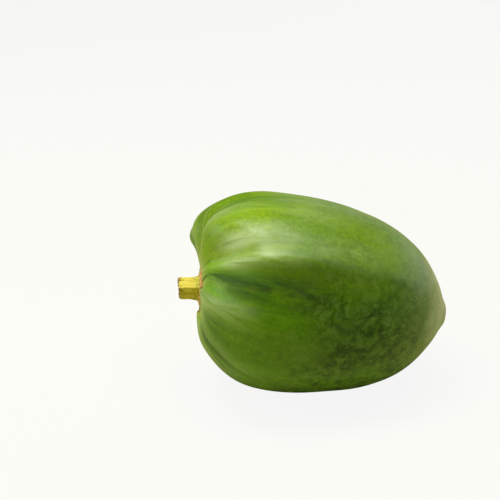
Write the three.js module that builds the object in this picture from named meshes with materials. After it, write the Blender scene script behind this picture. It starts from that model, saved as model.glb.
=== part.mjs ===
// A green papaya, picked with a short stub of its stalk and lying on its side.
//
// The fruit is one closed solid: a round-shouldered body that tapers to a blunt blossom end. Its five
// carpels stand up round the stalk unevenly and part in furrows that are deepest on the shoulders and fade
// along the fruit; between its long ridges the body is flatter. The stalk stub stands in the hollow between
// the shoulders, inside the dried calyx, a small corky star that stayed on the fruit where its flower was.
//
// Units are millimetres and degrees. Each piece is built about its own axis: +Y runs from the stalk to
// the blossom end, with 0 at the seat of the stalk, and angles about it start at +Z and turn towards +X.
// The lying group turns +Y to +X with the nose down and sets the fruit on the ground, z = 0.

import * as THREE from "three";
import { mergeVertices } from "three/addons/utils/BufferGeometryUtils.js";

// ---- Driving dimensions ----------------------------------------------------------------------------

const BODY_LENGTH = 150; // seat of the stalk to blossom tip
const BODY_RADIUS = 62.4; // at the widest, a quarter of the way along
const SEAT_RADIUS = 12; // flat floor of the hollow, under the calyx
const SEAT_DROP = 9.3; // the seat lies this far below the middle of the shoulders,
const BODY_SAG = 4.1; // and the middle of the body this far,
const TIP_RISE = 1; // from where the tip turns up again a little

const CARPELS = 5;
const CARPEL_SWELL = 1.5; // how far each carpel bulges between its main furrows
const FIRST_FURROW = -14; // just past the top, on the far side
// Furrows and ridges: the angle, how far the skin stands proud there, the width, the shares of the way to
// the tip where it starts to fade and has gone, and how many degrees it leans off its angle at the seat.
const FOLDS = [
  [-30, -1.6, 15, 0.4, 0.62, 0],
  [-14, -3.4, 8, 0.05, 0.6, 0],
  [8, -0.6, 6, 0.05, 0.5, 6],
  [34, -0.4, 3.5, 0.3, 0.6, 9],
  [44, 1.6, 4.5, 0.42, 0.74, 8.5],
  [58, -2.6, 8, 0.2, 0.5, 0],
  [76, -0.9, 4, 0.3, 0.55, 0],
  [84, 1.1, 7, 0.3, 0.55, 0],
  [96, -0.7, 5, 0.2, 0.45, 0],
  [130, -0.9, 9, 0.05, 0.6, 0],
  [178, -1.1, 6, 0.05, 0.5, 0],
  [202, -3.4, 8, 0.05, 0.8, 0],
  [226, -1.1, 6, 0.05, 0.5, 0],
  [250, -1.1, 6, 0.05, 0.5, 0],
  [274, -3.4, 8, 0.05, 0.8, 0],
  [298, -1.1, 6, 0.05, 0.5, 0],
  [322, -1.1, 6, 0.05, 0.5, 0],
];
// The body is flatter between long ridges: the angles that each face runs from and to, and how far its
// middle lies in.
const FACES = [
  [-100, -30, 3],
  [-30, 46, 4],
  [46, 114, 6.5],
  [112, 190, 2.7],
];
const CROWN_TILT = 8; // the seat and the shoulders round it lean back over the body
// The shoulders: the angle, how much higher the crown stands there, and how far its edge is rounded off.
const SHOULDERS = [
  [-76, 4.6, 0],
  [-38, -1.5, 0],
  [5, -1, 2.5],
  [40, -2.5, 11],
  [100, -3, 1.5],
  [128, -0.6, 0],
  [166, -3, 0],
  [238, -7.5, 0],
  [262, -5, 0],
];

const STALK_LENGTH = 13.6;
const STALK_RADIUS = 6.2; // at the cut end
const STALK_FLARE = 1.8; // added to the radius at the foot
const STALK_RIB = 0.45; // height of its five ribs
const STALK_SLANT = 1.6; // the cut end leans back by this much from top to bottom

const CALYX_THICKNESS = 2; // against the stalk,
const CALYX_EDGE = 1.2; // and at its outer edge
const CALYX_RADIUS = 9.8; // of the ring, between its points
const CALYX_POINT = 1.6; // how far its points reach past the ring
const GAP = 0.3; // left between neighbouring pieces

const LIE_PITCH = 12; // nose down
const REST_FLAT = 0.9; // depth of the flat it rests on

const degrees = THREE.MathUtils.degToRad;
const inDegrees = THREE.MathUtils.radToDeg;
const { smoothstep, lerp, euclideanModulo } = THREE.MathUtils;

// ---- Lathed pieces ---------------------------------------------------------------------------------

// Turns a profile of (radius, along) points about +Y, starting in the first furrow, and lets place()
// shape every point of it. Its lift is how far it moves a point towards +Z.
function turned(profile, around, place) {
  const geometry = new THREE.LatheGeometry(profile, around);
  const position = geometry.getAttribute("position");
  for (let i = 0; i < position.count; i++) {
    const row = i % profile.length;
    const angle = degrees(FIRST_FURROW) + (Math.floor(i / profile.length) / around) * 2 * Math.PI;
    const { radius, along, lift = 0 } = place(row, angle);
    position.setXYZ(i, radius * Math.sin(angle), along, radius * Math.cos(angle) + lift);
  }
  geometry.deleteAttribute("normal");
  geometry.deleteAttribute("uv");
  const merged = mergeVertices(geometry, 1e-3);
  merged.computeVertexNormals();
  return merged;
}

// ---- The fruit -------------------------------------------------------------------------------------

const AROUND = 120;
const ALONG = 48;

// Its outline before the furrows, from the rim of the seat over the shoulder to the tip, as shares of
// BODY_RADIUS and BODY_LENGTH.
const OUTLINE = [
  [0.31, -0.018],
  [0.43, -0.033],
  [0.57, -0.027],
  [0.7, 0.005],
  [0.845, 0.078],
  [0.945, 0.175],
  [0.982, 0.29],
  [0.962, 0.43],
  [0.896, 0.58],
  [0.794, 0.72],
  [0.62, 0.84],
  [0.382, 0.925],
  [0.21, 0.968],
  [0.12, 0.99],
  [0, 1],
];

function outline() {
  const rim = new THREE.Vector2(SEAT_RADIUS, 0);
  const points = OUTLINE.map(([radius, along]) => {
    return new THREE.Vector2(radius * BODY_RADIUS, along * BODY_LENGTH);
  });
  return [new THREE.Vector2(0, 0), ...new THREE.SplineCurve([rim, ...points]).getPoints(ALONG)];
}

// The direction that points out of the fruit at one row of the outline.
function outward(rows, row) {
  const before = rows[Math.max(row - 1, 0)];
  const after = rows[Math.min(row + 1, rows.length - 1)];
  const along = after.clone().sub(before).normalize();
  return new THREE.Vector2(along.y, -along.x);
}

// 1 in the middle of a furrow and 0 well to its side.
function across(angle, middle, width) {
  const away = Math.atan2(Math.sin(angle - middle), Math.cos(angle - middle));
  return Math.exp(-((away / degrees(width)) ** 2));
}

// How far the faces of the body lie in at an angle.
function flatness(angle) {
  let inward = 0;
  for (const [from, to, depth] of FACES) {
    const share = euclideanModulo(inDegrees(angle) - from, 360) / (to - from);
    if (share < 1) inward += depth * (Math.hypot(Math.sin(share * Math.PI), 0.14) - 0.14);
  }
  return inward;
}

// How far the surface stands proud of the outline, at a share of the way from seat to tip.
function relief(share, angle) {
  const onShoulder = smoothstep(share, 0, 0.12);
  const swell = CARPEL_SWELL * Math.cos(CARPELS * (angle - degrees(FIRST_FURROW)));
  let proud = -swell * onShoulder * (1 - smoothstep(share, 0.2, 1));
  proud -= flatness(angle) * smoothstep(share, 0.15, 0.42) * (1 - smoothstep(share, 0.45, 0.78));
  for (const [middle, height, width, whole, gone, lean] of FOLDS) {
    const here = degrees(middle + lean * (1 - smoothstep(share, 0.2, 0.5)));
    proud += height * onShoulder * (1 - smoothstep(share, whole, gone)) * across(angle, here, width);
  }
  return proud;
}

// How far a point of the crown is carried towards the stalk end.
function crownRise(share, angle, height) {
  const start = SHOULDERS[0][0];
  const turn = start + euclideanModulo(inDegrees(angle) - start, 360);
  const here = SHOULDERS.findLastIndex(([at]) => at <= turn);
  const [from, rise, rounding] = SHOULDERS[here];
  const [to, nextRise, nextRounding] = SHOULDERS[(here + 1) % SHOULDERS.length];
  const mix = smoothstep((turn - from) / euclideanModulo(to - from, 360), 0, 1);
  const tilt = Math.tan(degrees(CROWN_TILT)) * height;
  const shoulder = lerp(rise, nextRise, mix) * smoothstep(share, 0.03, 0.18);
  const rounded = lerp(rounding, nextRounding, mix) * smoothstep(share, 0.05, 0.24);
  const crown = (tilt + shoulder) * (1 - smoothstep(share, 0.15, 0.5));
  return crown - rounded * (1 - smoothstep(share, 0.26, 0.5));
}

function fruitGeometry() {
  const rows = outline();
  return turned(rows, AROUND, (row, angle) => {
    const share = Math.max(row - 1, 0) / ALONG;
    const atPole = row === 0 || row === rows.length - 1;
    const proud = atPole ? 0 : relief(share, angle);
    const out = outward(rows, row);
    const radius = rows[row].x + out.x * proud;
    const along = rows[row].y + out.y * proud - crownRise(share, angle, radius * Math.cos(angle));
    const sag = BODY_SAG * smoothstep(share, 0.25, 0.51) - TIP_RISE * smoothstep(share, 0.46, 0.7);
    const lift = SEAT_DROP * smoothstep(share, 0, 0.12) - sag;
    return { radius, along, lift };
  });
}

// ---- The stalk stub and the calyx ------------------------------------------------------------------

function stalkGeometry() {
  const foot = STALK_RADIUS + STALK_FLARE;
  const side = new THREE.SplineCurve([
    new THREE.Vector2(foot, 0),
    new THREE.Vector2(STALK_RADIUS + 0.35 * STALK_FLARE, 0.22 * STALK_LENGTH),
    new THREE.Vector2(STALK_RADIUS, 0.55 * STALK_LENGTH),
    new THREE.Vector2(STALK_RADIUS, STALK_LENGTH - 0.8),
    new THREE.Vector2(STALK_RADIUS - 0.7, STALK_LENGTH),
  ]).getPoints(12);
  const pith = new THREE.Vector2(0.35 * STALK_RADIUS, STALK_LENGTH - 0.3);
  const rows = [new THREE.Vector2(0, 0), ...side, pith, new THREE.Vector2(0, STALK_LENGTH - 1.2)];
  // Listed from the cut end back to the foot, because the stalk grows towards -Y.
  const profile = rows.reverse().map((point) => new THREE.Vector2(point.x, -GAP - point.y));
  return turned(profile, 40, (row, angle) => {
    const { x, y } = profile[row];
    const radius = x * (1 + (STALK_RIB / foot) * Math.cos(CARPELS * (angle - degrees(FIRST_FURROW))));
    const slant = STALK_SLANT * smoothstep(-y, 0.6 * STALK_LENGTH, STALK_LENGTH);
    return { radius, along: y - (slant * radius * Math.cos(angle)) / (2 * STALK_RADIUS) };
  });
}

function calyxGeometry() {
  const inner = STALK_RADIUS + STALK_FLARE + STALK_RIB + GAP;
  const section = [
    [inner, -GAP - 0.3],
    [inner, -GAP - CALYX_THICKNESS + 0.3],
    [inner + 0.3, -GAP - CALYX_THICKNESS],
    [CALYX_RADIUS - 0.3, -GAP - CALYX_EDGE],
    [CALYX_RADIUS, -GAP - CALYX_EDGE + 0.3],
    [CALYX_RADIUS, -GAP - 0.3],
    [CALYX_RADIUS - 0.3, -GAP],
    [inner + 0.3, -GAP],
    [inner, -GAP - 0.3],
  ].map(([radius, along]) => new THREE.Vector2(radius, along));
  return turned(section, 60, (row, angle) => {
    const { x, y } = section[row];
    const reach = (x - inner) / (CALYX_RADIUS - inner);
    const point = Math.max(0, Math.cos(CARPELS * (angle - degrees(FIRST_FURROW)))) ** 2;
    return { radius: x + CALYX_POINT * reach * point, along: y };
  });
}

// ---- The whole papaya, lying -----------------------------------------------------------------------

// Moves every vertex that would be under the ground up to it.
function press(mesh) {
  mesh.updateWorldMatrix(true, false);
  const position = mesh.geometry.getAttribute("position");
  const back = mesh.matrixWorld.clone().invert();
  const point = new THREE.Vector3();
  for (let i = 0; i < position.count; i++) {
    point.fromBufferAttribute(position, i).applyMatrix4(mesh.matrixWorld);
    if (point.z < 0) {
      point.setZ(0).applyMatrix4(back);
      position.setXYZ(i, point.x, point.y, point.z);
    }
  }
  mesh.geometry.computeVertexNormals();
}

const skin = new THREE.MeshStandardMaterial({ color: 0x5f8a1c, roughness: 0.42, metalness: 0 });
const stalkBark = new THREE.MeshStandardMaterial({ color: 0xb9b84a, roughness: 0.6, metalness: 0 });
const cork = new THREE.MeshStandardMaterial({ color: 0xb98a58, roughness: 0.85, metalness: 0 });

const fruit = new THREE.Mesh(fruitGeometry(), skin);
fruit.name = "papaya_fruit";
const stalk = new THREE.Mesh(stalkGeometry(), stalkBark);
stalk.name = "stalk_stub";
const calyx = new THREE.Mesh(calyxGeometry(), cork);
calyx.name = "calyx";

const seat = new THREE.Group();
seat.rotation.x = degrees(CROWN_TILT);
seat.add(stalk, calyx);

const lying = new THREE.Group();
lying.rotation.set(0, degrees(LIE_PITCH), degrees(-90));
lying.add(fruit, seat);

const box = new THREE.Box3().setFromObject(lying, true);
const middle = box.getCenter(new THREE.Vector3());
lying.position.set(-middle.x, -middle.y, -box.min.z - REST_FLAT);
press(fruit);

const papaya = new THREE.Group();
papaya.add(lying);

export default papaya;
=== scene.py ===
import math

import bmesh
import bpy
from mathutils import Matrix, Vector, noise


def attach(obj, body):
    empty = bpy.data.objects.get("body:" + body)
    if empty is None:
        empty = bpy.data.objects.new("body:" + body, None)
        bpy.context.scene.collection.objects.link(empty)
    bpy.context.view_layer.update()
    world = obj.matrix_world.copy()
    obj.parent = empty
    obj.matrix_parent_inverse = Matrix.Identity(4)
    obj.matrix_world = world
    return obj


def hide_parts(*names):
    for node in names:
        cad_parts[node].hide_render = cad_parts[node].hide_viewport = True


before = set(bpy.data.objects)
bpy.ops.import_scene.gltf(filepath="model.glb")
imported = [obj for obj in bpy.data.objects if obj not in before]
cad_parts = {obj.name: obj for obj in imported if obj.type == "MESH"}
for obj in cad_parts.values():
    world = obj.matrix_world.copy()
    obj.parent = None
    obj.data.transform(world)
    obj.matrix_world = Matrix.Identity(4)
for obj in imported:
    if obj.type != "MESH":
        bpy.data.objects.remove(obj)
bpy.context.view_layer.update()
scene = bpy.context.scene
scene.view_settings.view_transform = "Standard"


# ---- The fruit ----
# One firm fruit with a waxy skin, grown whole. Its five carpels swell between furrows that run from the
# seat of the stalk over the shoulders, and it tapers to a blunt tip with the dry scar of the flower.

# The body. Its middle line rises from the seat of the stalk in the hollow between the shoulders, sags
# over the first part of the length and turns up a little towards the tip.
NOSE_DOWN = math.radians(12)
BODY_LENGTH = 0.150
SEAT_RADIUS = 0.012
SEAT_DROP, HOLLOW = 0.0093, (0.011, 0.026)  # the hollow is from the first to the second distance
BODY_SAG, SAG_SPAN = 0.0041, (0.0, 0.38)  # the spans are shares of the length
TIP_RISE, RISE_SPAN = 0.001, (0.27, 0.78)

# The furrows, by their angle in degrees round the fruit from its top, towards the front.
MAIN_FURROWS = (-14, 58, 130, 202, 274)
SIDE_FURROWS = (8, 34, 76, 96, 178, 226, 250, 298, 322)
MAIN_WIDTH, SIDE_WIDTH = 4.5, 4
FURROWS_START = (0.020, 0.042)  # their deeper green sets in between these distances from the seat
FURROWS_END = 0.55  # as a share of the length

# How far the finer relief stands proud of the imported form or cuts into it.
FURROW_DEPTH = 0.0002
RIB_HEIGHT, RIBS_END = 0.00006, (0.1, 0.6)
UNEVENNESS = 0.0005
SHOULDER_TOP = 0.030  # the relief sets in from the seat to this distance
FILLED_FURROW, FILL_WIDTH = 59.5, 7.5  # the furrow in front is shallower near the stalk
FILL_HEIGHT, FILL_STARTS, FILL_ENDS = 0.0025, (0.014, 0.026), (0.045, 0.075)
SCAR_RIM, SCAR_RIM_HEIGHT = 0.990, 0.0003  # shares of the length, and heights
SCAR_PIT, SCAR_PIT_DEPTH = 0.999, 0.0006
SCAR_RING = 0.003  # the width of the rim and of the pit, as a share of the length
RESTING = 1e-5  # points lower than this are the flat that the fruit lies on
WELD_DISTANCE = 1e-5

# Strokes of colour that run from the stalk over the shoulders: the angle where each starts and ends, how
# many millimetres from the stalk that is, its half width in degrees and its strength.
# The pale strokes are waxy grey-green in part and painted highlights in part: the lamps' reflections on
# the shoulders and along the crest, and a painted sheen by the stalk.
PALE_AND_HIGHLIGHT_STROKES = [
    (0, -5, 20, 54, 10, 0.55),
    (34, 31, 46, 72, 5.5, 1.3),
    (50, 45, 44, 76, 4.5, 0.85),
    (10, 10, 74, 92, 9, 0.4),
    (92, 84, 22, 56, 9, 0.6),
    (36, 34, 86, 112, 8, 0.4),
    (4, 4, 36, 64, 7, 0.35),
    (68, 68, 17, 24, 34, 0.9),
]
# The vivid strokes are yellow-green streaks in part and painted light in part, along the lit crest and
# just below it.
VIVID_AND_LIT_STROKES = [
    (30, 8, 30, 68, 4, 0.6),
    (52, 50, 28, 50, 5, 1.1),
    (57, 54, 36, 66, 4, 0.5),
    (92, 88, 40, 60, 5, 0.4),
    (96, 94, 66, 90, 9, 0.5),
]
# The deep strokes are deeper green in part and painted shade in part: in the furrow by the stalk, under
# the crest and low on the front.
DEEP_AND_SHADE_STROKES = [
    (61, 60, 33, 48, 6.5, 0.9),
    (62, 58, 35, 88, 7, 0.8),
    (69, 67, 46, 90, 7, 0.6),
    (82, 78, 28, 66, 5, 0.6),
    (41, 35, 56, 72, 2.5, 0.5),
    (102, 102, 32, 52, 7, 0.9),
    (88, 88, 84, 104, 14, 0.5),
    (66, 66, 100, 118, 9, 0.6),
    (132, 132, 24, 50, 16, 0.8),
    (98, 98, 88, 116, 10, 0.4),
    (78, 78, 84, 102, 10, 0.5),
    (44, 45, 80, 134, 5, 0.6),
    (-2, -2, 88, 124, 18, 0.35),
]
BACK_CARPEL, BACK_STRENGTH = math.radians(216), 0.7  # the strokes come again at the back, fainter


def welded(node):
    """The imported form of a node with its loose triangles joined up."""
    form = bmesh.new()
    form.from_mesh(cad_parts[node].data)
    bmesh.ops.remove_doubles(form, verts=form.verts, dist=WELD_DISTANCE)
    return form


def refined(node, levels):
    """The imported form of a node, welded and rounded into many more faces."""
    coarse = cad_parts[node].data.copy()
    form = welded(node)
    bmesh.ops.join_triangles(form, faces=form.faces, angle_face_threshold=0.5, angle_shape_threshold=1.6)
    form.to_mesh(coarse)
    form.free()
    cast = bpy.data.objects.new("cast", coarse)
    scene.collection.objects.link(cast)
    rounding = cast.modifiers.new("rounding", "SUBSURF")
    rounding.levels = rounding.render_levels = levels
    rounded = cast.evaluated_get(bpy.context.evaluated_depsgraph_get())
    fine = bpy.data.meshes.new_from_object(rounded)
    bpy.data.objects.remove(cast)
    return fine


def add_values(form, values, vectors=()):
    """New numbers and vectors that a form holds at each of its points, for its material to read."""
    for name in vectors:
        form.attributes.new(name, "FLOAT_VECTOR", "POINT")
    for name in values:
        form.attributes.new(name, "FLOAT", "POINT")
    return {name: form.attributes[name].data for name in (*vectors, *values)}


# The seat of the stalk and the tip are the points where the most edges meet, and the seat is the left one.
form = welded("papaya_fruit")
poles = sorted(form.verts, key=lambda vert: -len(vert.link_edges))[:2]
seat = min((vert.co.copy() for vert in poles), key=lambda place: place.x)
form.free()

fruit_skin = refined("papaya_fruit", 2)

forward = Vector((math.cos(NOSE_DOWN), 0, -math.sin(NOSE_DOWN)))
upward = Vector((math.sin(NOSE_DOWN), 0, math.cos(NOSE_DOWN)))
sideways = Vector((0, -1, 0))


def smooth(value, low, high):
    """0 below low, 1 above high, and an even slope between them."""
    share = min(max((value - low) / (high - low), 0.0), 1.0)
    return share * share * (3 - 2 * share)


def near(angle, middle, width):
    """1 at the middle of a furrow, and 0 well to its side. The width is in degrees."""
    away = math.remainder(angle - middle, 2 * math.pi)
    return math.exp(-((away / math.radians(width)) ** 2))


def near_tip(along, middle):
    """1 on the ring of the tip's scar that lies this far along the fruit."""
    return math.exp(-(((along - middle) / SCAR_RING) ** 2))


def middle_of_ring(reach):
    """How far the middle of the body's ring through a place lies over the seat."""
    lift = 0.0
    for _ in range(5):
        lift = SEAT_DROP * smooth((reach - lift * upward).length, *HOLLOW)
    along = reach.dot(forward) / BODY_LENGTH
    return lift - BODY_SAG * smooth(along, *SAG_SPAN) + TIP_RISE * smooth(along, *RISE_SPAN)


def stroked(strokes, angle, reach):
    """How strongly the strokes cover a place, at an angle and so many millimetres from the stalk."""
    covered = 0.0
    for start, end, nearest, farthest, width, strength in strokes:
        middle = math.radians(start + (end - start) * smooth(reach, nearest, farthest))
        length = smooth(reach, nearest - 10, nearest + 8)
        length *= 1 - smooth(reach, farthest - 10, farthest + 10)
        covered += strength * length * near(angle, middle, width)
    return covered


told = add_values(fruit_skin, ("furrow", "along", "from_seat", "pale", "vivid", "deep"), ("grain",))
places = [vert.co.copy() for vert in fruit_skin.vertices]
normals = [vert.normal.copy() for vert in fruit_skin.vertices]
for index, (place, normal) in enumerate(zip(places, normals)):
    reach = place - seat
    distance = reach.length
    along = reach.dot(forward) / BODY_LENGTH
    angle = math.atan2(reach.dot(sideways), reach.dot(upward) - middle_of_ring(reach))
    shoulder = smooth(distance, SEAT_RADIUS, SHOULDER_TOP)
    fading = 1 - smooth(along, 0.0, FURROWS_END)

    main = sum(near(angle, math.radians(middle), MAIN_WIDTH) for middle in MAIN_FURROWS)
    side = sum(near(angle, math.radians(middle), SIDE_WIDTH) for middle in SIDE_FURROWS)
    ring = Vector((math.sin(angle), math.cos(angle), 0.0))
    ribs = noise.noise(9 * ring + Vector((0, 0, 1.2 * along)))
    ribs += 0.5 * noise.noise(21 * ring + Vector((3, 0, 2.0 * along)))
    swell = noise.noise(place * 22 + Vector((7, 2, 5))) + 0.4 * noise.noise(place * 60)

    proud = -FURROW_DEPTH * main * shoulder * fading
    proud += RIB_HEIGHT * ribs * shoulder * (1 - smooth(along, *RIBS_END))
    proud += UNEVENNESS * swell * shoulder
    near_seat = smooth(distance, *FILL_STARTS) * (1 - smooth(distance, *FILL_ENDS))
    proud += FILL_HEIGHT * near_seat * near(angle, math.radians(FILLED_FURROW), FILL_WIDTH)
    proud += SCAR_RIM_HEIGHT * near_tip(along, SCAR_RIM) - SCAR_PIT_DEPTH * near_tip(along, SCAR_PIT)
    moved = place + normal * proud
    moved.z = max(moved.z, 0.0)
    if place.z < RESTING:
        moved = place
    fruit_skin.vertices[index].co = moved

    told["grain"][index].vector = (ring.x, ring.y, along)
    told["furrow"][index].value = (main + 0.4 * side) * smooth(distance, *FURROWS_START) * fading
    told["along"][index].value = along
    told["from_seat"][index].value = distance * 1000
    for name, strokes in (("pale", PALE_AND_HIGHLIGHT_STROKES), ("vivid", VIVID_AND_LIT_STROKES), ("deep", DEEP_AND_SHADE_STROKES)):
        in_front = stroked(strokes, angle, distance * 1000)
        behind = stroked(strokes, angle - BACK_CARPEL, distance * 1000)
        told[name][index].value = in_front + BACK_STRENGTH * behind

fruit_skin.update()
fruit_skin.shade_smooth()
fruit = bpy.data.objects.new("papaya_skin", fruit_skin)
scene.collection.objects.link(fruit)
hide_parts("papaya_fruit")
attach(fruit, "root")


def paint(*levels):
    """The colour that looks like these 0 to 255 levels of red, green and blue, as a node wants it."""
    shares = [level / 255 for level in levels]
    return (*(((share + 0.055) / 1.055) ** 2.4 if share > 0.04 else share / 12.92 for share in shares), 1)


def shade(tree, kind, inputs=None, **settings):
    """A new node, with its settings, and its inputs set to values or fed by other nodes."""
    made = tree.nodes.new("ShaderNode" + kind)
    for name, value in settings.items():
        setattr(made, name, value)
    for name, value in (inputs or {}).items():
        if isinstance(value, bpy.types.NodeSocket):
            tree.links.new(value, made.inputs[name])
        else:
            made.inputs[name].default_value = value
    return made


def value_of(tree, name, output="Fac"):
    """A value that the form holds at each of its points."""
    return shade(tree, "Attribute", attribute_name=name).outputs[output]


def tint(tree, share, base, over):
    """One colour laid over another by a share."""
    return shade(tree, "Mix", {0: share, 6: base, 7: over}, data_type="RGBA").outputs[2]


def add(tree, one, other):
    """The sum of two numbers."""
    return shade(tree, "Math", {0: one, 1: other}, operation="ADD").outputs[0]


def times(tree, *numbers):
    """The product of two numbers or more."""
    product = numbers[0]
    for number in numbers[1:]:
        product = shade(tree, "Math", {0: product, 1: number}, operation="MULTIPLY").outputs[0]
    return product


def mask(tree, value, low, high, floor=0.0, top=1.0):
    """A soft step from floor to top as the value goes from low to high."""
    step = {"Value": value, "From Min": low, "From Max": high, "To Min": floor, "To Max": top}
    return shade(tree, "MapRange", step, interpolation_type="SMOOTHSTEP").outputs[0]


def stretched(tree, vector, *scale):
    """A vector scaled by its own amount along each axis."""
    return shade(tree, "Mapping", {"Vector": vector, "Scale": scale}).outputs[0]


def cloud(tree, vector, scale, detail=3.0, roughness=0.5, distortion=0.0):
    """Noise from 0 to 1."""
    inputs = {"Vector": vector, "Scale": scale, "Detail": detail, "Roughness": roughness}
    return shade(tree, "TexNoise", {**inputs, "Distortion": distortion}).outputs[0]


def new_material(name):
    """A material, its node tree and its surface shader."""
    made = bpy.data.materials.new(name)
    made.use_nodes = True
    return made, made.node_tree, made.node_tree.nodes["Principled BSDF"]


def roughen(tree, surface, height, strength, distance):
    """Bumps on the surface, as high as this distance."""
    bump = shade(tree, "Bump", {"Height": height, "Strength": strength, "Distance": distance})
    tree.links.new(bump.outputs[0], surface.inputs["Normal"])


skin, tree, surface = new_material("waxy green skin")
place = shade(tree, "TexCoord").outputs["Object"]
around = value_of(tree, "grain", "Vector")
furrow = value_of(tree, "furrow")
way = value_of(tree, "along")
from_seat = value_of(tree, "from_seat")
up = shade(tree, "SeparateXYZ", {"Vector": around}).outputs["Y"]

# Broad drift between a yellower and a bluer green, each painted lighter and yellower on the upper side as
# painted light from above.
painted_light_above = mask(tree, up, 0.35, 0.85)
yellower = tint(tree, painted_light_above, paint(104, 155, 3), paint(126, 159, 4))
bluer = tint(tree, painted_light_above, paint(90, 138, 2), paint(104, 141, 2))
green = tint(tree, mask(tree, cloud(tree, place, 24), 0.35, 0.65), bluer, yellower)

# A fine grain of lighter and darker specks.
specks = mask(tree, cloud(tree, place, 480, 4, 0.65, 0.4), 0.34, 0.66, 0.85, 1.17)
green = shade(tree, "HueSaturation", {"Value": specks, "Color": green}).outputs[0]

# Streaks that run from the stalk and fade along the fruit, stronger on the upper side.
stalk_end = times(tree, mask(tree, way, 0.62, 0.10), mask(tree, up, -0.4, 0.4, 0.2, 1.0))
streak = cloud(tree, stretched(tree, around, 9, 9, 5), 1, 3, 0.55, 0.8)
fine_streak = cloud(tree, stretched(tree, around, 20, 20, 9), 1, 4, 0.6, 1.0)
light_streak = times(tree, mask(tree, streak, 0.48, 0.64), stalk_end, 0.38)
green = tint(tree, light_streak, green, paint(156, 184, 44))
dark_streak = times(tree, mask(tree, fine_streak, 0.46, 0.36), stalk_end, 0.45)
green = tint(tree, dark_streak, green, paint(78, 122, 2))

# Strokes of deep green, of vivid green and of waxy grey-green over the shoulders, frayed lengthwise. The
# deep strokes are partly painted shade, the vivid ones partly painted light, and the pale ones partly
# painted highlights and sheen.
frayed = cloud(tree, stretched(tree, around, 12, 12, 8), 1, 5, 0.6, 0.8)
frayed = mask(tree, frayed, 0.34, 0.62, 0.3, 1.0)
deep = times(tree, value_of(tree, "deep"), frayed)
green = tint(tree, deep, green, paint(52, 86, 0))
green = tint(tree, times(tree, value_of(tree, "vivid"), frayed), green, paint(124, 168, 4))
green = tint(tree, times(tree, value_of(tree, "pale"), frayed), green, paint(176, 197, 122))

# The blossom half is a cooler green, mottled with soft dark and pale blotches.
blossom_end = mask(tree, way, 0.16, 0.50)
green = tint(tree, mask(tree, way, 0.3, 0.75, 0.0, 0.45), green, paint(84, 122, 40))
patch = mask(tree, cloud(tree, place, 40, 2), 0.38, 0.58, 0.35, 1.0)
lower = mask(tree, up, 0.9, 0.2, 0.25, 1.0)
mottled = times(tree, patch, blossom_end, lower)
blotches = cloud(tree, stretched(tree, around, 10, 10, 34), 1, 5, 0.6, 0.4)
dark_blotch = times(tree, mask(tree, blotches, 0.55, 0.39, 0.0, 0.78), mottled)
green = tint(tree, dark_blotch, green, paint(36, 68, 0))
dark_grain = mask(tree, cloud(tree, place, 170, 4, 0.65, 0.6), 0.42, 0.60, 0.0, 0.4)
green = tint(tree, times(tree, dark_grain, mottled), green, paint(40, 72, 0))
pale_side = mask(tree, lower, 0.25, 1.0, 0.5, 1.0)
pale_blotch = times(tree, mask(tree, blotches, 0.50, 0.66, 0.0, 0.45), blossom_end, pale_side)
green = tint(tree, pale_blotch, green, paint(128, 158, 76))

# A net of fine veins, dark and pale, lies over the blotches and runs round the fruit.
veins = cloud(tree, stretched(tree, around, 26, 26, 72), 1, 4, 0.6, 1.2)
dark_vein = times(tree, mask(tree, veins, 0.50, 0.36, 0.0, 0.5), mottled, mask(tree, way, 0.88, 0.74))
green = tint(tree, dark_vein, green, paint(40, 72, 0))
pale_vein = times(tree, mask(tree, veins, 0.52, 0.66, 0.0, 0.34), blossom_end)
green = tint(tree, pale_vein, green, paint(118, 150, 70))

# A thin bloom of wax greys it towards the tip: streaks round the fruit, then soft spots, then all wan.
# This grey is stronger on the upper side, and is partly the wax and partly a painted sheen, the reflection
# of light on it.
rings = cloud(tree, stretched(tree, around, 14, 14, 44), 1, 4, 0.6, 1.0)
rings = mask(tree, rings, 0.35, 0.65, 0.3, 1.0)
spots = mask(tree, cloud(tree, place, 130, 4, 0.6), 0.35, 0.65, 0.3, 1.0)
waxy = tint(tree, mask(tree, way, 0.80, 0.92), rings, spots)
painted_sheen_side = mask(tree, up, -0.6, 0.5, 0.35, 1.0)
bloom = times(tree, mask(tree, way, 0.62, 0.95), waxy, painted_sheen_side, 0.55)
green = tint(tree, bloom, green, paint(146, 164, 104))
uneven = mask(tree, cloud(tree, place, 75, 4, 0.6), 0.3, 0.7, -0.05, 0.05)
wan = mask(tree, add(tree, way, uneven), 0.81, 0.97, 0.0, 0.65)
green = tint(tree, times(tree, wan, painted_sheen_side), green, paint(182, 191, 160))

# Furrows are painted a deeper green, as painted shade in the creases.
green = tint(tree, mask(tree, furrow, 0.15, 0.95, 0.0, 0.45), green, paint(52, 96, 4))

# Round the calyx the skin is dry, yellow and then brown close in, in a ring that is wider above.
ragged = add(tree, from_seat, mask(tree, cloud(tree, place, 260), 0.3, 0.7, -2.5, 2.5))
ragged = add(tree, ragged, mask(tree, up, 0.8, -0.6, 0.0, 2.4))
green = tint(tree, mask(tree, ragged, 24.0, 13.5, 0.0, 0.75), green, paint(178, 174, 66))
dried = mask(tree, cloud(tree, place, 620, 4, 0.65), 0.36, 0.64)
crust = tint(tree, dried, paint(118, 74, 34), paint(190, 142, 76))
green = tint(tree, mask(tree, ragged, 15.2, 12.0, 0.0, 0.8), green, crust)

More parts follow.
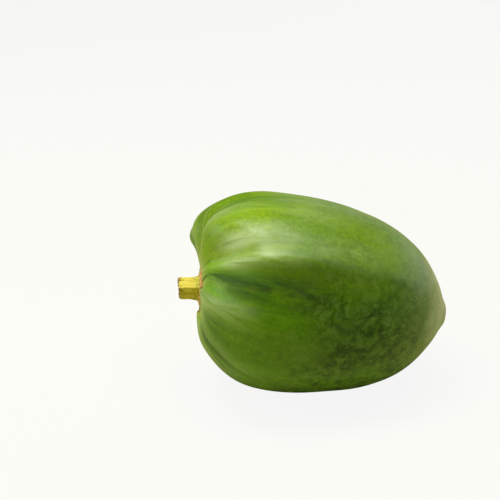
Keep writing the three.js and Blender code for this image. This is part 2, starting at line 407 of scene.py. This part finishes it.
# The scar of the flower at the tip is a dark crust in a tan ring.
frayed_scar = add(tree, way, mask(tree, cloud(tree, place, 420, 4, 0.7), 0.3, 0.7, -0.004, 0.004))
green = tint(tree, mask(tree, frayed_scar, 0.984, 0.991, 0.0, 0.7), green, paint(160, 142, 84))
flaky = mask(tree, cloud(tree, place, 900, 3, 0.6), 0.4, 0.6)
scar = tint(tree, flaky, paint(58, 40, 22), paint(122, 92, 54))
green = tint(tree, mask(tree, frayed_scar, 0.990, 0.994, 0.0, 0.95), green, scar)
tree.links.new(green, surface.inputs["Base Color"])

# The wax shines softly, less in the furrows and where the green is deep, over pores and dimples.
gloss = mask(tree, cloud(tree, place, 90, 4, 0.6), 0.3, 0.7, 0.27, 0.40)
gloss = add(tree, gloss, mask(tree, furrow, 0.1, 0.8, 0.0, 0.25))
gloss = add(tree, gloss, mask(tree, deep, 0.1, 0.9, 0.0, 0.3))
tree.links.new(gloss, surface.inputs["Roughness"])
surface.inputs["IOR"].default_value = 1.5
surface.inputs["Specular IOR Level"].default_value = 0.3
surface.inputs["Sheen Weight"].default_value = 0.1
surface.inputs["Sheen Roughness"].default_value = 0.5
surface.inputs["Sheen Tint"].default_value = paint(225, 232, 205)
pores = cloud(tree, place, 900, 2)
dimples = cloud(tree, place, 190)
roughen(tree, surface, add(tree, times(tree, pores, 0.25), dimples), 0.25, 0.0006)
fruit_skin.materials.clear()
fruit_skin.materials.append(skin)


# ---- The stalk ----
# The stub of the fruit stalk: woody, fibrous and five-sided, its corners in line with the furrows. It is
# green where it leaves the fruit and dries to yellow, and to brown at the torn and slanting cut.

CROWN_TILT = math.radians(8)
STALK_LENGTH = 0.0136
STALK_RADIUS = 0.0062

CORNER_HEIGHT, CORNER_WIDTH = 0.00035, 8  # the widths are in degrees
FACE_DEPTH, FACE_WIDTH = 0.0003, 17
HALF_FACE = 36  # from a corner to the middle of the next face
FIBRE_HEIGHT, TORN_FIBRE_HEIGHT = 0.00022, 0.0003
LUMP_HEIGHT = 0.0002
SPLINTER_LENGTH = 0.00045
PITH_DEPTH = 0.0011
CUT_STARTS = 0.8  # the fibres are torn from this share of the length
WOOD_STARTS, WOOD_WHOLE = 0.45, 0.7  # the wall of the cut, as shares of the radius

stalk_axis = Vector((-math.cos(NOSE_DOWN - CROWN_TILT), 0, math.sin(NOSE_DOWN - CROWN_TILT)))
stalk_upward = Vector((stalk_axis.z, 0, -stalk_axis.x))


def about_stalk(place):
    """A place told by its height over the seat, its angle and the way out from the stalk's middle."""
    reach = place - seat
    height = reach.dot(stalk_axis)
    angle = math.atan2(reach.dot(sideways), reach.dot(stalk_upward))
    return height, angle, reach - height * stalk_axis


stalk_form = refined("stalk_stub", 3)
told = add_values(stalk_form, ("height", "cut"), ("grain",))
places = [vert.co.copy() for vert in stalk_form.vertices]
normals = [vert.normal.copy() for vert in stalk_form.vertices]
for index, (place, normal) in enumerate(zip(places, normals)):
    height, angle, outward = about_stalk(place)
    ring = Vector((math.sin(angle), math.cos(angle), 0.0))
    end = smooth(normal.dot(stalk_axis), 0.35, 0.85)
    torn = smooth(height, CUT_STARTS * STALK_LENGTH, STALK_LENGTH)

    corners = sum(near(angle, math.radians(corner), CORNER_WIDTH) for corner in MAIN_FURROWS)
    faces = sum(near(angle, math.radians(corner + HALF_FACE), FACE_WIDTH) for corner in MAIN_FURROWS)
    fibres = noise.noise(7 * ring + Vector((0, 0, 60 * height)))
    fibres += 0.5 * noise.noise(19 * ring + Vector((4, 0, 90 * height)))
    lumps = noise.noise(place * 330 + Vector((1, 4, 2)))
    proud = CORNER_HEIGHT * corners - FACE_DEPTH * faces + FIBRE_HEIGHT * fibres
    proud += LUMP_HEIGHT * lumps
    proud += TORN_FIBRE_HEIGHT * torn * fibres
    moved = place + normal * proud * (1 - end)

    # The woody wall of the cut is torn into short fibres, and the pith inside it has shrunk back.
    wall = smooth(outward.length, WOOD_STARTS * STALK_RADIUS, WOOD_WHOLE * STALK_RADIUS)
    splinters = noise.noise(place * 900) + noise.noise(9 * ring + Vector((0, 7, 2)))
    sunk = PITH_DEPTH * (1 - wall) * (1 + 0.4 * lumps)
    moved += stalk_axis * end * (SPLINTER_LENGTH * wall * splinters - sunk)
    stalk_form.vertices[index].co = moved

    told["grain"][index].vector = (ring.x, ring.y, height / STALK_RADIUS)
    told["height"][index].value = height / STALK_LENGTH
    told["cut"][index].value = end * (1 + outward.length / STALK_RADIUS)

stalk_form.update()
stalk_form.shade_smooth()
stalk = bpy.data.objects.new("stalk", stalk_form)
scene.collection.objects.link(stalk)
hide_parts("stalk_stub")
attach(stalk, "root")

bark, tree, surface = new_material("drying stalk")
place = shade(tree, "TexCoord").outputs["Object"]
around = value_of(tree, "grain", "Vector")
cut = value_of(tree, "cut")

# From green at the foot through straw yellow to brown at the cut, the bounds ragged.
ragged = mask(tree, cloud(tree, place, 420, 4, 0.6), 0.3, 0.7, -0.16, 0.16)
ragged = add(tree, value_of(tree, "height"), ragged)
straw = tint(tree, mask(tree, ragged, 0.02, 0.55), paint(168, 174, 22), paint(242, 222, 84))
limy = mask(tree, cloud(tree, place, 240), 0.5, 0.68, 0.0, 0.6)
straw = tint(tree, limy, straw, paint(206, 204, 34))
straw = tint(tree, mask(tree, ragged, 0.90, 1.02, 0.0, 0.75), straw, paint(142, 104, 58))

# Darker bands run across it, fine fibres along it, and small dry scars are scattered over it.
bands = cloud(tree, stretched(tree, around, 0.8, 0.8, 3.2), 1, 3, 0.6, 0.5)
straw = tint(tree, mask(tree, bands, 0.52, 0.66, 0.0, 0.45), straw, paint(196, 178, 16))
fibre = cloud(tree, stretched(tree, around, 17, 17, 1.6), 1, 4, 0.65, 0.3)
straw = tint(tree, mask(tree, fibre, 0.48, 0.34, 0.0, 0.5), straw, paint(186, 164, 40))
straw = tint(tree, mask(tree, fibre, 0.56, 0.70, 0.0, 0.5), straw, paint(240, 226, 130))
cells = {"Vector": stretched(tree, around, 5, 5, 3), "Scale": 1}
scars = shade(tree, "TexVoronoi", cells).outputs["Distance"]
straw = tint(tree, mask(tree, scars, 0.16, 0.08, 0.0, 0.6), straw, paint(150, 104, 44))

# The cut shows a brown fibrous wall, pricked with darker vessels, round a pale and stained pith.
fibrous = mask(tree, cloud(tree, place, 700, 4, 0.6), 0.35, 0.65)
wood = tint(tree, fibrous, paint(120, 84, 48), paint(186, 150, 96))
vessels = shade(tree, "TexVoronoi", {"Vector": place, "Scale": 1500}).outputs["Distance"]
wood = tint(tree, mask(tree, vessels, 0.34, 0.18, 0.0, 0.7), wood, paint(74, 50, 30))
stained = mask(tree, cloud(tree, place, 380, 4, 0.6), 0.4, 0.7)
pith = tint(tree, stained, paint(214, 196, 142), paint(146, 108, 62))
wood = tint(tree, mask(tree, cut, 1.62, 1.42), wood, pith)
straw = tint(tree, mask(tree, cut, 0.35, 0.85), straw, wood)

tree.links.new(straw, surface.inputs["Base Color"])
tree.links.new(mask(tree, fibre, 0.3, 0.7, 0.62, 0.46), surface.inputs["Roughness"])
surface.inputs["IOR"].default_value = 1.48
surface.inputs["Specular IOR Level"].default_value = 0.35
grit = cloud(tree, place, 1600, 3, 0.6)
roughen(tree, surface, add(tree, fibre, times(tree, grit, 0.4)), 0.5, 0.0004)
stalk_form.materials.clear()
stalk_form.materials.append(bark)


# ---- The calyx ----
# The dried remains of the flower's calyx: a thin corky collar with five blunt points, cracked and
# crumbling, that is grown on round the foot of the stalk.

CALYX_INNER = 0.0088
CALYX_OUTER = 0.0105
CLOSED_TO, CLOSED_BY = 0.0098, 0.0010  # the inner edge, out to the first, is drawn in to the stalk
CRUMB_HEIGHT = 0.00022
CRACK_DEPTH = 0.00035
EDGE_RAGS = 0.0005

calyx_form = refined("calyx", 3)
told = add_values(calyx_form, ("reach", "crack"))
places = [vert.co.copy() for vert in calyx_form.vertices]
normals = [vert.normal.copy() for vert in calyx_form.vertices]
for index, (place, normal) in enumerate(zip(places, normals)):
    _, angle, outward = about_stalk(place)
    out = outward.length
    outward = outward.normalized()
    ring = Vector((math.sin(angle), math.cos(angle), 0.0))
    share = smooth(out, CALYX_INNER, CALYX_OUTER)

    # Cracks run outwards through the cork, and its edge crumbles.
    split = 1 - smooth(abs(noise.noise(6 * ring + Vector((0, 0, 120 * out)))), 0.0, 0.12)
    crumbs = noise.noise(place * 700) + 0.6 * noise.noise(place * 1500)
    moved = place + normal * (CRUMB_HEIGHT * crumbs - CRACK_DEPTH * split * share)
    moved += outward * share * EDGE_RAGS * noise.noise(13 * ring + Vector((2, 2, 9)))
    moved -= outward * CLOSED_BY * (1 - smooth(out, CALYX_INNER, CLOSED_TO))
    calyx_form.vertices[index].co = moved
    told["reach"][index].value = share
    told["crack"][index].value = split

calyx_form.update()
calyx_form.shade_smooth()
calyx = bpy.data.objects.new("calyx_collar", calyx_form)
scene.collection.objects.link(calyx)
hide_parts("calyx")
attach(calyx, "root")

cork, tree, surface = new_material("dry cork")
place = shade(tree, "TexCoord").outputs["Object"]

# Pale and darker tan, greenish in places, browner at the points and dark in the cracks.
patchy = mask(tree, cloud(tree, place, 480, 4, 0.6), 0.35, 0.65)
corky = tint(tree, patchy, paint(240, 200, 124), paint(204, 152, 84))
greenish = mask(tree, cloud(tree, place, 170, 2), 0.52, 0.66, 0.0, 0.7)
corky = tint(tree, greenish, corky, paint(186, 182, 96))
points = mask(tree, value_of(tree, "reach"), 0.7, 1.0, 0.0, 0.35)
corky = tint(tree, points, corky, paint(150, 100, 50))
cracks = mask(tree, value_of(tree, "crack"), 0.3, 0.9, 0.0, 0.8)
corky = tint(tree, cracks, corky, paint(96, 60, 22))
flecks = cloud(tree, place, 1300, 4, 0.65)
corky = tint(tree, mask(tree, flecks, 0.42, 0.32, 0.0, 0.6), corky, paint(112, 72, 34))
corky = tint(tree, mask(tree, flecks, 0.6, 0.7, 0.0, 0.5), corky, paint(238, 206, 148))
tree.links.new(corky, surface.inputs["Base Color"])
surface.inputs["Roughness"].default_value = 0.85
surface.inputs["Specular IOR Level"].default_value = 0.25
roughen(tree, surface, flecks, 0.6, 0.0004)
calyx_form.materials.clear()
calyx_form.materials.append(cork)


# ---- The studio ----
# A white table top that runs out of sight, two soft boxes overhead, a low panel at each end of the
# fruit and a faint one behind it. The camera looks down on it from the front.

TABLE_REACH = 4
LAMP_AIM = Vector((0, 0, 0.06))
# The lamps: name, place, width, height and power.
SOFT_BOXES = [
    ("overhead_left", (-0.28, -0.02, 0.80), 0.34, 0.34, 4.2),
    ("overhead_right", (0.14, 0.06, 0.84), 0.55, 0.4, 3.3),
    ("left_panel", (-0.73, 0.06, 0.38), 0.5, 0.4, 1.7),
    ("right_panel", (0.76, 0.24, 0.20), 0.8, 0.6, 1.5),
    ("back_panel", (0.42, 0.80, 0.16), 0.7, 0.3, 0.32),
]
AZIMUTH, ELEVATION = math.radians(-5), math.radians(27)
CAMERA_AIM = Vector((-0.03703, 0.0143, 0.0830))
CAMERA_DISTANCE = 0.7104

floor_form = bpy.data.meshes.new("table top")
form = bmesh.new()
bmesh.ops.create_grid(form, x_segments=1, y_segments=1, size=TABLE_REACH)
form.to_mesh(floor_form)
form.free()
floor = bpy.data.objects.new("table_top", floor_form)
scene.collection.objects.link(floor)

# The camera sees the table nearly white, with a part of its shadows. The light it throws back is warm.
white, tree, surface = new_material("white table")
surface.inputs["Base Color"].default_value = (0.66, 0.64, 0.24, 1)
surface.inputs["Roughness"].default_value = 0.9
surface.inputs["Specular IOR Level"].default_value = 0.0
glow = shade(tree, "Emission", {"Color": (1, 1, 1, 1), "Strength": 1.0})
seen = shade(tree, "LightPath").outputs["Is Camera Ray"]
share = times(tree, seen, 0.9)
both = shade(tree, "MixShader", {0: share, 1: surface.outputs[0], 2: glow.outputs[0]})
tree.links.new(both.outputs[0], tree.nodes["Material Output"].inputs["Surface"])
floor_form.materials.append(white)

scene.world = bpy.data.worlds.new("white room")
scene.world.use_nodes = True
tree = scene.world.node_tree
background = tree.nodes["Background"]
background.inputs["Color"].default_value = (1, 1, 1, 1)
seen = shade(tree, "LightPath").outputs["Is Camera Ray"]
tree.links.new(mask(tree, seen, 0.0, 1.0, 0.03, 1.0), background.inputs["Strength"])

for name, place, width, height, power in SOFT_BOXES:
    lamp = bpy.data.lights.new(name, "AREA")
    lamp.shape = "RECTANGLE"
    lamp.size, lamp.size_y, lamp.energy = width, height, power
    held = bpy.data.objects.new(name, lamp)
    place = Vector(place)
    held.matrix_world = Matrix.LocRotScale(place, (LAMP_AIM - place).to_track_quat("-Z", "Y"), None)
    held.visible_camera = False
    scene.collection.objects.link(held)

level = math.cos(ELEVATION)
back = Vector((math.sin(AZIMUTH) * level, -math.cos(AZIMUTH) * level, math.sin(ELEVATION)))
lens = bpy.data.cameras.new("camera")
lens.lens, lens.sensor_width = 85, 36
camera = bpy.data.objects.new("camera", lens)
stand = CAMERA_AIM + CAMERA_DISTANCE * back
camera.matrix_world = Matrix.LocRotScale(stand, back.to_track_quat("Z", "Y"), None)
scene.collection.objects.link(camera)
scene.camera = camera

bpy.context.view_layer.update()
